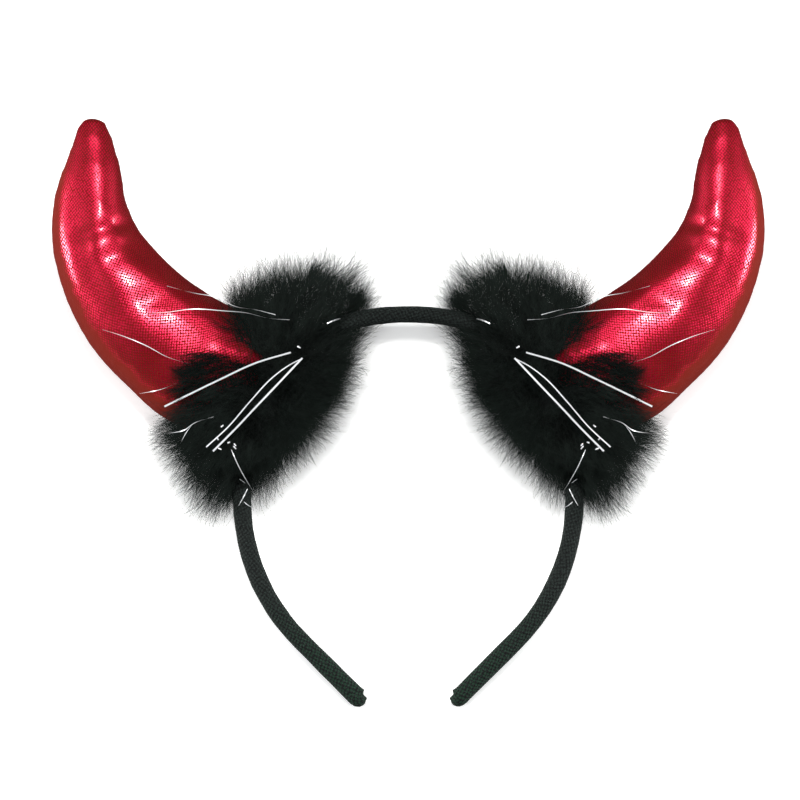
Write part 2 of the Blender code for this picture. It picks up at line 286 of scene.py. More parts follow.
def foil_knit():
    """Metallic-foil lame knit: red tricot with a film of foil pressed on in dots.

    The lacquered dots catch the light and the dull knit between them stays dark, so a highlight is a
    patch of sparks that runs out into deep red.
    """
    made, tree = new_material("red foil lame knit")
    uv = add_node(tree, "ShaderNodeUVMap", {"uv_map": "cloth"}, {})
    # The foil's dots are 0.45 mm apart, and are drawn at 0.95 mm so that they show.
    turned = add_node(
        tree, "ShaderNodeMapping", {},
        {"Vector": uv.outputs["UV"], "Rotation": (0, 0, math.radians(38)), "Scale": (1.05, 1.05, 1)},
    )
    dots = add_node(
        tree, "ShaderNodeTexVoronoi", {"voronoi_dimensions": "2D"},
        {"Vector": turned.outputs["Vector"], "Scale": 1.0, "Randomness": 0.25},
    )
    dot = add_node(
        tree, "ShaderNodeMapRange", {"interpolation_type": "SMOOTHSTEP"},
        {"Value": dots.outputs["Distance"], "From Min": 0.50, "From Max": 0.28},
    )
    # The foil cracks and wears off in places a few millimetres wide.
    wear = add_node(
        tree, "ShaderNodeTexNoise", {"noise_dimensions": "2D"},
        {"Vector": uv.outputs["UV"], "Scale": 0.16, "Detail": 5.0, "Roughness": 0.6},
    )
    worn = add_node(
        tree, "ShaderNodeMapRange", {},
        {"Value": wear.outputs["Fac"], "From Min": 0.3, "From Max": 0.65, "To Min": 0.55},
    )
    edge = add_node(tree, "ShaderNodeAttribute", {"attribute_name": "foil"}, {})
    held = add_node(
        tree, "ShaderNodeMath", {"operation": "MULTIPLY"},
        {0: worn.outputs["Result"], 1: edge.outputs["Fac"]},
    )
    share = add_node(
        tree, "ShaderNodeMath", {"operation": "MULTIPLY"},
        {0: held.outputs["Value"], 1: dot.outputs["Result"]},
    )
    foil = add_node(
        tree, "ShaderNodeMapRange", {"interpolation_type": "SMOOTHSTEP"},
        {"Value": share.outputs["Value"], "From Min": 0.2, "From Max": 0.45},
    )
    knit = add_node(
        tree, "ShaderNodeMix", {"data_type": "RGBA"},
        {"Factor": held.outputs["Value"], "A": linear("#6c1c11"), "B": linear("#740d09")},
    )
    colour = add_node(
        tree, "ShaderNodeMix", {"data_type": "RGBA"},
        {"Factor": foil.outputs["Result"], "A": knit.outputs["Result"], "B": linear("#e4264c")},
    )
    rough = add_node(
        tree, "ShaderNodeMapRange", {},
        {"Value": foil.outputs["Result"], "To Min": 0.65, "To Max": 0.36},
    )
    lacquer = add_node(
        tree, "ShaderNodeMath", {"operation": "MULTIPLY"}, {0: foil.outputs["Result"], 1: 0.9}
    )
    bump = add_node(
        tree, "ShaderNodeBump", {},
        {"Height": dot.outputs["Result"], "Strength": 0.5, "Distance": 0.07 * MM},
    )
    finish_material(tree, {
        "Base Color": colour.outputs["Result"],
        "Metallic": foil.outputs["Result"],
        "Roughness": rough.outputs["Result"],
        "Specular IOR Level": 0.2,
        "Specular Tint": linear("#c86a78"),
        "Coat Weight": lacquer.outputs["Value"],
        "Coat Roughness": 0.2,
        "Normal": bump.outputs["Normal"],
    })
    return made


def marabou_down():
    """Dyed marabou: downy barbs a twentieth of a millimetre thick, matt and nearly black.

    They are drawn two to three times as thick so that they show. Their tips are greyer, because light
    comes through them.
    """
    made, tree = new_material("black dyed marabou down")
    tone = add_node(tree, "ShaderNodeAttribute", {"attribute_name": "tone"}, {})
    colour = add_node(
        tree, "ShaderNodeMix", {"data_type": "RGBA"},
        {"Factor": tone.outputs["Fac"], "A": linear("#030504"), "B": linear("#232d28")},
    )
    finish_material(tree, {
        "Base Color": colour.outputs["Result"],
        "Roughness": 0.85,
        "Specular IOR Level": 0.15,
        "Sheen Weight": 0.05,
        "Sheen Roughness": 0.5,
        "Sheen Tint": linear("#8fa39a"),
    })
    return made


def marabou_cord():
    """The wound cord and the densest down under the barbs, which only show as dark depth."""
    made, tree = new_material("black marabou cord")
    place_in = add_node(tree, "ShaderNodeTexCoord", {}, {})
    matted = add_node(
        tree, "ShaderNodeTexNoise", {},
        {"Vector": place_in.outputs["Object"], "Scale": 900.0, "Detail": 6.0, "Roughness": 0.7},
    )
    colour = add_node(
        tree, "ShaderNodeMix", {"data_type": "RGBA"},
        {"Factor": matted.outputs["Fac"], "A": linear("#040605"), "B": linear("#0e1311")},
    )
    bump = add_node(
        tree, "ShaderNodeBump", {},
        {"Height": matted.outputs["Fac"], "Strength": 1.0, "Distance": 0.8 * MM},
    )
    finish_material(tree, {
        "Base Color": colour.outputs["Result"],
        "Roughness": 0.95,
        "Specular IOR Level": 0.15,
        "Normal": bump.outputs["Normal"],
    })
    return made


def tinsel_film():
    """Metallised polyester film slit into tinsel: a mirror with fine scratches along it."""
    made, tree = new_material("silver metallised polyester tinsel")
    uv = add_node(tree, "ShaderNodeUVMap", {"uv_map": "cloth"}, {})
    drawn = add_node(
        tree, "ShaderNodeMapping", {}, {"Vector": uv.outputs["UV"], "Scale": (0.4, 9.0, 1)}
    )
    scratches = add_node(
        tree, "ShaderNodeTexNoise", {"noise_dimensions": "2D"},
        {"Vector": drawn.outputs["Vector"], "Scale": 1.0, "Detail": 3.0},
    )
    rough = add_node(
        tree, "ShaderNodeMapRange", {},
        {"Value": scratches.outputs["Fac"], "From Min": 0.2, "From Max": 0.8,
         "To Min": 0.26, "To Max": 0.48},
    )
    finish_material(tree, {
        "Base Color": linear("#f6f8fa"),
        "Metallic": 0.4,
        "Roughness": rough.outputs["Result"],
    })
    return made


def knit_sleeve():
    """Black knitted tube drawn over the hoop: fine dull stitches, a little lint, greener at the tips.

    The stitches are 0.6 mm wide, and are drawn at 1.3 mm so that they show.
    """
    made, tree = new_material("black knitted sleeve")
    uv = add_node(tree, "ShaderNodeUVMap", {"uv_map": "cloth"}, {})
    slanted = add_node(
        tree, "ShaderNodeMapping", {},
        {"Vector": uv.outputs["UV"], "Rotation": (0, 0, math.radians(24)), "Scale": (0.75, 0.75, 1)},
    )
    stitches = add_node(
        tree, "ShaderNodeTexVoronoi", {"voronoi_dimensions": "2D", "distance": "MANHATTAN"},
        {"Vector": slanted.outputs["Vector"], "Scale": 1.0, "Randomness": 0.35},
    )
    stitch = add_node(
        tree, "ShaderNodeMapRange", {"interpolation_type": "SMOOTHSTEP"},
        {"Value": stitches.outputs["Distance"], "From Min": 0.75, "From Max": 0.15},
    )
    lint = add_node(
        tree, "ShaderNodeTexNoise", {"noise_dimensions": "2D"},
        {"Vector": uv.outputs["UV"], "Scale": 2.2, "Detail": 6.0, "Roughness": 0.75},
    )
    lit = add_node(
        tree, "ShaderNodeMapRange", {},
        {"Value": lint.outputs["Fac"], "From Min": 0.55, "From Max": 0.7, "To Min": 0.0, "To Max": 0.7},
    )
    green = add_node(tree, "ShaderNodeAttribute", {"attribute_name": "green"}, {})
    dye = add_node(
        tree, "ShaderNodeMix", {"data_type": "RGBA"},
        {"Factor": green.outputs["Fac"], "A": linear("#1a211e"), "B": linear("#11301f")},
    )
    raised = add_node(
        tree, "ShaderNodeMix", {"data_type": "RGBA"},
        {"Factor": stitch.outputs["Result"], "A": linear("#020303"), "B": dye.outputs["Result"]},
    )
    colour = add_node(
        tree, "ShaderNodeMix", {"data_type": "RGBA"},
        {"Factor": lit.outputs["Result"], "A": raised.outputs["Result"], "B": linear("#46534e")},
    )
    bump = add_node(
        tree, "ShaderNodeBump", {},
        {"Height": stitch.outputs["Result"], "Strength": 1.0, "Distance": 0.3 * MM},
    )
    finish_material(tree, {
        "Base Color": colour.outputs["Result"],
        "Roughness": 0.88,
        "Specular IOR Level": 0.3,
        "Sheen Weight": 0.1,
        "Sheen Roughness": 0.4,
        "Sheen Tint": linear("#9fb3aa"),
        "Normal": bump.outputs["Normal"],
    })
    return made


FOIL_KNIT = foil_knit()
DOWN = marabou_down()
CORD = marabou_cord()
FILM = tinsel_film()
SLEEVE = knit_sleeve()


def set_uv(mesh, coordinates):
    """The cloth's own coordinates in mm, one pair for each point."""
    layer = mesh.uv_layers.new(name="cloth")
    corners = np.empty(len(mesh.loops), np.int32)
    mesh.loops.foreach_get("vertex_index", corners)
    layer.uv.foreach_set("vector", coordinates[corners].astype(np.float32).ravel())


def set_tone(mesh, name, values):
    attribute = mesh.attributes.new(name, "FLOAT", "POINT")
    attribute.data.foreach_set("value", values.astype(np.float32))


def dress(name, mesh, material, node=None):
    """A piece on the left and its mirror image on the right, laid in the slope of the model."""
    made = []
    for side, turn in (("left", 1), ("right", -1)):
        copy = mesh if turn == 1 else mesh.copy()
        if turn == -1:
            copy.flip_normals()
        made.append((side, turn, copy))
    flat = points_of(mesh)
    pieces = []
    for side, turn, copy in made:
        set_points(copy, to_world(flat * (turn, 1, 1)))
        copy.materials.clear()
        copy.materials.append(material)
        piece = place(name + "_" + side, copy)
        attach(piece, "root")
        if node:
            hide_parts(node + "_" + side)
        pieces.append(piece)
    return pieces


# Horns

STUFFING_CAP = 1.2 * MM  # the most that the stuffing swells the cover
HORN_FRONT = 14 * MM  # about how far the horns' fronts lie above the hoop's middle plane
PUCKER = 3.1 * MM  # from one pucker of the seam to the next


def distance_to_line(flat, line):
    """For each point, the distance to a line, how far along it the nearest place is, and the side."""
    best = np.full(len(flat), np.inf)
    along = np.zeros(len(flat))
    side = np.zeros(len(flat))
    run = 0.0
    for start, end in zip(line, line[1:]):
        step = end - start
        length = np.linalg.norm(step)
        t = np.clip((flat - start) @ step / length**2, 0, 1)
        away = flat - start - t[:, None] * step
        gap = np.linalg.norm(away, axis=1)
        nearer = gap < best
        best[nearer] = gap[nearer]
        along[nearer] = run + t[nearer] * length
        turned = step[0] * away[:, 1] - step[1] * away[:, 0]
        side[nearer] = np.sign(turned[nearer])
        run += length
    return best, along, side


def widest(values, along, bins, run):
    """The largest value near each point's place along the horn."""
    edges = np.linspace(0, run, bins)
    index = np.clip(np.searchsorted(edges, along), 1, bins - 1)
    most = np.array([values[index == i].max() if (index == i).any() else 0 for i in range(bins)])
    most[0] = most[1]
    filled = np.maximum(most, 1e-4)
    return np.interp(along, edges, np.convolve(np.pad(filled, 2, "edge"), np.ones(5) / 5, "valid"))


def stuffed(mesh, cap):
    """The cover blown up by its stuffing, no point further out than cap."""
    item = place("stuffing", mesh)
    before = points_of(mesh)
    cloth = item.modifiers.new("stuffing", "CLOTH")
    cloth.settings.quality = 5
    cloth.settings.mass = 0.2
    cloth.settings.use_pressure = True
    cloth.settings.uniform_pressure_force = 4.0
    cloth.settings.effector_weights.gravity = 0
    cloth.point_cache.frame_start = 1
    cloth.point_cache.frame_end = 20
    for number in range(1, 21):
        bpy.context.scene.frame_set(number)
    graph = bpy.context.evaluated_depsgraph_get()
    after = points_of(item.evaluated_get(graph).data)
    bpy.context.scene.frame_set(1)
    bpy.data.objects.remove(item)
    moved = after - before
    far = np.linalg.norm(moved, axis=1)
    return before + moved * np.minimum(1, cap / np.maximum(far, 1e-9))[:, None]


def horn_cover():
    mesh = applied(flat_copy("horn_left"), "REMESH", mode="VOXEL", voxel_size=2.7 * MM)
    points = points_of(mesh)
    seat = np.array([flat_x(SEAT[0]), flat_y(SEAT[1])])
    free = smooth_step(20 * MM, 34 * MM, np.linalg.norm(points[:, :2] - seat, axis=1))
    swollen = stuffed(mesh.copy(), STUFFING_CAP)
    points = points + (swollen - points) * free[:, None]
    set_points(mesh, points)
    mesh = applied(mesh, "SUBSURF", levels=1)
    mesh = applied(mesh, "SMOOTH", factor=0.5, iterations=3)

    points = points_of(mesh)
    normals = np.empty(len(points) * 3)
    mesh.vertices.foreach_get("normal", normals)
    normals = normals.reshape(-1, 3)
    height = np.zeros(len(points))
    for folds, front in ((FRONT_FOLDS, 1), (BACK_FOLDS, -1)):
        facing = smooth_step(-0.15, 0.35, front * normals[:, 2])
        for places, breadth, rise in folds:
            line = raised(sampled(places, 12), HORN_FRONT)
            gap, along, _ = distance_to_line(points[:, :2], line)
            fold = facing * rise * MM * np.exp(-((gap / (breadth * MM)) ** 2))
            if len(places) > 2:
                along /= along.max()
                fold *= smooth_step(0, 0.3, along) * smooth_step(1, 0.7, along)
            height += fold
    points += normals * height[:, None]
    set_points(mesh, points)
    mesh = applied(mesh, "SUBSURF", levels=1)

    points = points_of(mesh)
    mesh.vertices.foreach_get("normal", normals := np.empty(len(points) * 3))
    normals = normals.reshape(-1, 3)
    line = sampled(HORN_MIDDLE, 160)
    gap, along, side = distance_to_line(points[:, :2], line)
    run = np.linalg.norm(np.diff(line, axis=0), axis=1).sum()
    # The two panels meet in a seam on each edge, drawn in by the thread and puckered at each stitch.
    wave = np.sin(2 * math.pi * along / PUCKER)
    groove = 0.3 * MM * np.exp(-((points[:, 2] / (0.7 * MM)) ** 2)) * (1 + 0.3 * wave)
    gathers = 0.035 * MM * np.exp(-((points[:, 2] / (3.5 * MM)) ** 2)) * wave
    points += normals * (gathers - groove)[:, None]
    # The tip is drawn out again by what the even mesh took off it.
    points[:, 1] += 1.1 * MM * smooth_step(flat_y(170), flat_y(118), points[:, 1]) ** 2
    world = to_world(points)
    world[:, 2] = np.maximum(world[:, 2], 0.05 * MM)
    points = to_flat(world)
    set_points(mesh, points)

    width = widest(gap, along, 40, run)
    depth = widest(np.abs(points[:, 2]), along, 40, run)
    turn = np.arctan2(points[:, 2] / depth, side * gap / width)
    around = (math.pi / 2 - np.abs(turn)) * (width + depth) / 2
    set_uv(mesh, np.column_stack([around, along]) / MM)
    # The foil is thin along the two seams, where the cloth was stretched and rubbed.
    across = side * gap / width
    foil = 1 - 0.35 * smooth_step(0.8, 1.0, -across) - 0.85 * smooth_step(0.45, 0.9, across)
    set_tone(mesh, "foil", np.clip(foil, 0.1, 1))
    mesh.shade_smooth()
    return mesh


# Hoop


def hoop_line():
    """The hoop's middle line and thickness, found between its inner and its outer face."""
    tree = tree_of(flat_copy("headband"))
    line, chords, rays = [], [], []
    for turn in np.linspace(-89, 269, 1400):
        ray = Vector((math.cos(math.radians(turn)), math.sin(math.radians(turn)), 0))
        inner = tree.ray_cast(Vector((0, 0, 0)), ray)[0]
        outer = tree.ray_cast(ray, -ray)[0]
        if inner is not None and outer is not None:
            line.append(((inner + outer) / 2)[:2])
            chords.append((outer - inner).length)
            rays.append(ray[:2])
    line, chords, rays = np.array(line), np.array(chords), np.array(rays)
    tangent = np.gradient(line, axis=0)
    tangent /= np.linalg.norm(tangent, axis=1)[:, None]
    crossing = np.abs(rays[:, 0] * tangent[:, 1] - rays[:, 1] * tangent[:, 0])
    steps = np.linalg.norm(np.diff(line, axis=0), axis=1)
    along = np.concatenate([[0.0], np.cumsum(steps)])
    thickness = np.clip(chords * crossing, 0, 7.2 * MM)
    return line, along, thickness


SLEEVE_RINGS = 760
SLEEVE_SIDES = 32
SLEEVE_END = 3.2 * MM  # the length of each rounded end
DEPTH_TO_WIDTH = 8 / 7


def sleeve_mesh():
    """The knit sleeve: an oval tube along the hoop, with rounded ends and slight rings in its knit."""
    line, along, thickness = hoop_line()
    run = along[-1]
    ends = SLEEVE_END * np.linspace(0, 1, 10)[:-1] ** 2
    between = np.linspace(SLEEVE_END, run - SLEEVE_END, SLEEVE_RINGS)
    even = np.concatenate([ends, between, run - ends[::-1]])
    middle = np.column_stack([np.interp(even, along, line[:, axis]) for axis in (0, 1)])
    radius = np.interp(even, along, thickness) / 2
    from_end = np.minimum(even, run - even)
    short = 1 - np.clip(from_end / SLEEVE_END, 0, 1)
    radius = radius * np.sqrt(np.clip(1 - short**2, 0.02, 1))
    rng = np.random.default_rng(5)
    # The sleeve sits a little unevenly: rings 1.1 mm apart, and slow swells along the hoop.
    rings = 0.05 * MM * np.sin(2 * math.pi * even / (1.1 * MM))
    slow = np.interp(even, np.linspace(0, run, 60), rng.normal(0, 0.07 * MM, 60))
    radius = radius + (rings + slow) * np.clip(from_end / (3 * MM), 0, 1)
    tangent = np.gradient(middle, axis=0)
    tangent /= np.linalg.norm(tangent, axis=1)[:, None]
    out = np.column_stack([-tangent[:, 1], tangent[:, 0]])
    turns = np.linspace(0, 2 * math.pi, SLEEVE_SIDES, endpoint=False)
    depth = radius * DEPTH_TO_WIDTH
    flat = np.zeros((len(even), SLEEVE_SIDES, 3))
    flat[:, :, :2] = middle[:, None] + out[:, None] * (radius[:, None] * np.cos(turns))[:, :, None]
    flat[:, :, 2] = depth[:, None] * np.sin(turns)
    count = len(even) * SLEEVE_SIDES
    index = np.arange(count).reshape(len(even), SLEEVE_SIDES)
    beside = np.roll(index, -1, axis=1)
    quads = np.stack([index[:-1], index[1:], beside[1:], beside[:-1]], axis=-1).reshape(-1, 4)
    faces = quads.tolist() + [index[0].tolist(), index[-1][::-1].tolist()]
    mesh = mesh_from("sleeve", flat.reshape(-1, 3), faces)
    coordinates = np.empty((len(even), SLEEVE_SIDES, 2))
    coordinates[:, :, 0] = even[:, None] / MM
    coordinates[:, :, 1] = turns * 3.6
    set_uv(mesh, coordinates.reshape(-1, 2))
    green = smooth_step(70 * MM, 10 * MM, from_end)
    set_tone(mesh, "green", np.repeat(green, SLEEVE_SIDES))
    return mesh


# Marabou


def height_grid(trees, step):
    """The front and the back of the meshes seen along Z, on a grid over the left half."""
    columns = np.arange(-0.150, 0.010, step)
    rows = np.arange(-0.060, 0.160, step)
    front = np.full((len(columns), len(rows)), -1.0)
    back = np.full((len(columns), len(rows)), 1.0)
    for i, x in enumerate(columns):
        for j, y in enumerate(rows):
            for tree in trees:
                hit = tree.ray_cast(Vector((x, y, 0.2)), Vector((0, 0, -1)))[0]
                if hit is not None:
                    below = tree.ray_cast(Vector((x, y, -0.2)), Vector((0, 0, 1)))[0]
                    front[i, j] = max(front[i, j], hit.z)
                    back[i, j] = min(back[i, j], below.z)
    return columns, rows, front, back


def read_grid(grid, which, x, y):
    columns, rows = grid[0], grid[1]
    i = np.clip(np.round((x - columns[0]) / (columns[1] - columns[0])).astype(int), 0, len(columns) - 1)
    j = np.clip(np.round((y - rows[0]) / (rows[1] - rows[0])).astype(int), 0, len(rows) - 1)
    return grid[which][i, j]


FLAT_HORN = tree_of(flat_copy("horn_left"))
FLAT_COLLAR = tree_of(flat_copy("marabou_left"))
HORN_GRID = height_grid([FLAT_HORN], 1.0 * MM)
COLLAR_GRID = height_grid([FLAT_COLLAR], 1.0 * MM)
SEAT_POINT = np.array([flat_x(SEAT[0]), flat_y(SEAT[1]), 0.0])


def collar_point(direction):
    """The collar's outermost place in one direction from the seat, or None where the horn passes."""
    ray = Vector(direction.tolist())
    hit = FLAT_COLLAR.ray_cast(Vector(SEAT_POINT.tolist()) + ray * 0.2, -ray)[0]
    if hit is None:
        return None
    return np.array(hit)


def ball_directions(count):
    """Directions spread evenly over a ball."""
    number = np.arange(count) + 0.5
    rise = 1 - 2 * number / count
    turn = math.pi * (1 + 5**0.5) * number
    flat = np.sqrt(1 - rise**2)
    return np.column_stack([flat * np.cos(turn), flat * np.sin(turn), rise])


def out_of_horn(points):
    """Points inside the horn are moved to just above the nearer of its front and its back."""
    front = read_grid(HORN_GRID, 2, points[:, 0], points[:, 1])
    back = read_grid(HORN_GRID, 3, points[:, 0], points[:, 1])
    inside = (points[:, 2] < front + 0.3 * MM) & (points[:, 2] > back - 0.3 * MM)
    up = points[:, 2] > (front + back) / 2
    points[:, 2] = np.where(inside & up, front + 0.3 * MM, points[:, 2])
    points[:, 2] = np.where(inside & ~up, back - 0.3 * MM, points[:, 2])
    return points


def off_the_floor(points, clear):
    world = to_world(points)
    world[:, 2] = np.maximum(world[:, 2], clear)
    return to_flat(world)


def bare_hoop(points):
    """1 where the hoop shows in front of the down, 0 where the down hides it."""
    column = points[:, 0] / PIXEL + MIDDLE_COLUMN
    row = WIDEST_ROW - points[:, 1] / PIXEL
    return np.where(row < 400, smooth_step(326, 340, column), smooth_step(462, 478, row))


def under_the_band(points, line, clear):
    """Where the hoop comes out of a collar, what lies over it is moved behind its front face."""
    gap, _, _ = distance_to_line(points[:, :2], line)
    shown = (1 - smooth_step(3.6 * MM, 5.2 * MM, gap)) * bare_hoop(points)
    points[:, 2] = np.minimum(points[:, 2], 0.060 * (1 - shown) + clear * shown)
    return points


def inside(flat, outline):
    """Which points lie inside an outline of places of the photograph, seen along Z."""
    corners = np.array([(flat_x(x), flat_y(y)) for x, y in outline])
    within = np.zeros(len(flat), bool)
    for (x0, y0), (x1, y1) in zip(corners, np.roll(corners, -1, axis=0)):
        crosses = (y0 > flat[:, 1]) != (y1 > flat[:, 1])
        rise = np.where(crosses, y1 - y0, 1.0)
        within ^= crosses & (flat[:, 0] < x0 + (x1 - x0) * (flat[:, 1] - y0) / rise)
    return within


# The horn shows through the down: quite bare in the tongue, and between thin wisps above it.
TONGUE = (
    (184, 320), (206, 333), (228, 342), (250, 350), (265, 358), (260, 363), (246, 362), (226, 355),
    (206, 349), (184, 354),
)
THIN = ((200, 306), (230, 304), (240, 314), (244, 330), (248, 346), (228, 340), (186, 320))


def thin_side(outward):
    """1 towards the side where the down is long and thin, below the crown, and 0 away from it."""
    clock = np.degrees(np.arctan2(outward[:, 1], outward[:, 0]))
    off = np.abs((clock - THIN_CLOCK + 180) % 360 - 180)
    return smooth_step(66, 20, off) * np.hypot(outward[:, 0], outward[:, 1])


def short_core(direction):
    """1 where the hoop comes out of a collar and the core has to end before it, 0 away from there."""
    clock = math.degrees(math.atan2(direction[1], direction[0]))
    off = min(abs((clock - angle + 180) % 360 - 180) for angle in HOOP_CLOCKS)
    return smooth_step(34, 16, off) * math.hypot(direction[0], direction[1])


def core_mesh():
    """The dense middle of a collar, at least 7 mm inside its surface and short of the bare hoop."""
    rng = np.random.default_rng(3)
    ball = bmesh.new()
    bmesh.ops.create_icosphere(ball, subdivisions=5, radius=1.0)
    for vertex in ball.verts:
        direction = np.array(vertex.co.normalized())
        hit = collar_point(direction)
        reach = 6 * MM if hit is None else np.linalg.norm(hit - SEAT_POINT)
        reach -= rng.uniform(7, 9) * MM + float(thin_side(direction[None])[0]) * 9 * MM
        near = float(short_core(direction))
        reach = reach * (1 - near) + min(reach, 24 * MM) * near
        vertex.co = (SEAT_POINT + direction * max(reach, 3 * MM)).tolist()
    made = bpy.data.meshes.new("ball")
    ball.to_mesh(made)
    ball.free()
    made = applied(made, "SMOOTH", factor=0.5, iterations=4)
    points = points_of(made)
    bare = inside(points, TONGUE) | inside(points, THIN)
    front = read_grid(HORN_GRID, 2, points[:, 0], points[:, 1])
    points[:, 2] = np.where(bare, np.minimum(points[:, 2], front - 1.5 * MM), points[:, 2])
    set_points(made, off_the_floor(points, 0.4 * MM))
    made.shade_smooth()
    return made


THIN_CLOCK = -18  # degrees round the seat, from the object's middle towards the top
HOOP_CLOCKS = (43, 262)  # where the hoop comes out of a collar
TUFTS = 950
BARBS = 22
BARB_STEPS = 4
BARB_HALF = 0.075 * MM  # half the width of a barb's foot
LYING_TUFTS = 150  # tufts that lie over the horn
WISPS = 600
WISP_BARBS = 90
WISP_STEPS = 3
WISP_HALF = 0.048 * MM
TIE = (303, 350)  # where a collar is tied and its down starts from

# Long wisps that stand out of the collar: root, end and how many.
LONG_WISPS = (
    ((220, 452), (231, 522), 8),
    ((322, 364), (368, 377), 6),
    ((312, 282), (317, 253), 5),
    ((350, 300), (374, 286), 4),
    ((352, 304), (374, 301), 4),
    ((326, 388), (352, 398), 5),
    ((312, 400), (338, 414), 5),
    ((292, 424), (312, 440), 5),
)


def lying_tufts(rng):
    """Roots and ends of the down that lies over the horn's front, away from where it is tied."""
    roots, ends = [], []
    above = ((258, 308), (240, 312), (224, 318), (210, 326))
    below = ((263, 366), (246, 368), (226, 361), (206, 353), (192, 358), (180, 374), (163, 404))
    edge = np.vstack([sampled(above, 20), sampled(below, 50)])
    tie = np.array([flat_x(TIE[0]), flat_y(TIE[1])])
    for _ in range(LYING_TUFTS):
        at = edge[rng.integers(0, 70)]
        back = rng.uniform(0.18, 0.62)
        root = at + (tie - at) * back + rng.normal(0, 1.6 * MM, 2)
        end = at + rng.normal(0, 1.8 * MM, 2)
        for spot, lift, kept in ((root, 1.0, roots), (end, rng.uniform(0.5, 3.5), ends)):
            height = float(read_grid(HORN_GRID, 2, spot[:1], spot[1:])[0])
            kept.append([spot[0], spot[1], max(height, 0.0) + lift * MM])
    return np.array(roots), np.array(ends)


def unit(vectors):
    return vectors / np.maximum(np.linalg.norm(vectors, axis=-1), 1e-9)[..., None]


def settled(line, band):
    """Lines of barbs kept within the collar and clear of the horn, the bare hoop and the floor."""
    flat = line.reshape(-1, 3)
    cover = read_grid(COLLAR_GRID, 2, flat[:, 0], flat[:, 1])
    flat[:, 2] = np.where(cover > 0, np.minimum(flat[:, 2], cover + 1.2 * MM), flat[:, 2])
    flat = out_of_horn(flat)
    flat = under_the_band(flat, band, -1.0 * MM)
    flat = off_the_floor(flat, 0.25 * MM)
    return flat.reshape(line.shape)


def kept_off_the_bare_cloth(rng, line):
    """Which barbs stay: nearly none over the tongue, and few in the thin part above it."""
    keep = np.ones(len(line), bool)
    for outline, share in ((TONGUE, 0.06), (THIN, 0.6)):
        touched = np.zeros(len(line), bool)
        for number in range(line.shape[1]):
            touched |= inside(line[:, number], outline) & (line[:, number, 2] > 0)
        keep &= ~touched | (rng.random(len(line)) < share)
    return line[keep], keep


def barb_mesh(rng, line, half, tone):
    """One mesh of flat barbs that narrow to a point."""
    steps = line.shape[1]
    wide = unit(np.cross(np.gradient(line, axis=1), rng.normal(0, 1, (len(line), 1, 3))))
    share = 1 - np.linspace(0, 1, steps)[:-1] ** 1.5
    breadth = wide[:, :-1] * (half * share)[None, :, None]
    sides = np.stack([line[:, :-1] - breadth, line[:, :-1] + breadth], axis=2).reshape(len(line), -1, 3)
    points = np.concatenate([sides, line[:, -1:]], axis=1)
    size = points.shape[1]
    base = np.arange(len(line)) * size
    faces = []
    for number in range(steps - 2):
        a = base + number * 2
        faces.extend(np.stack([a, a + 1, a + 3, a + 2], axis=-1).tolist())
    faces.extend(np.stack([base + size - 3, base + size - 2, base + size - 1], axis=-1).tolist())
    mesh = mesh_from("down", points.reshape(-1, 3), faces)
    shades = np.concatenate([np.repeat(tone[:, :-1], 2, axis=1), tone[:, -1:]], axis=1)
    set_tone(mesh, "tone", shades.ravel())
    return mesh


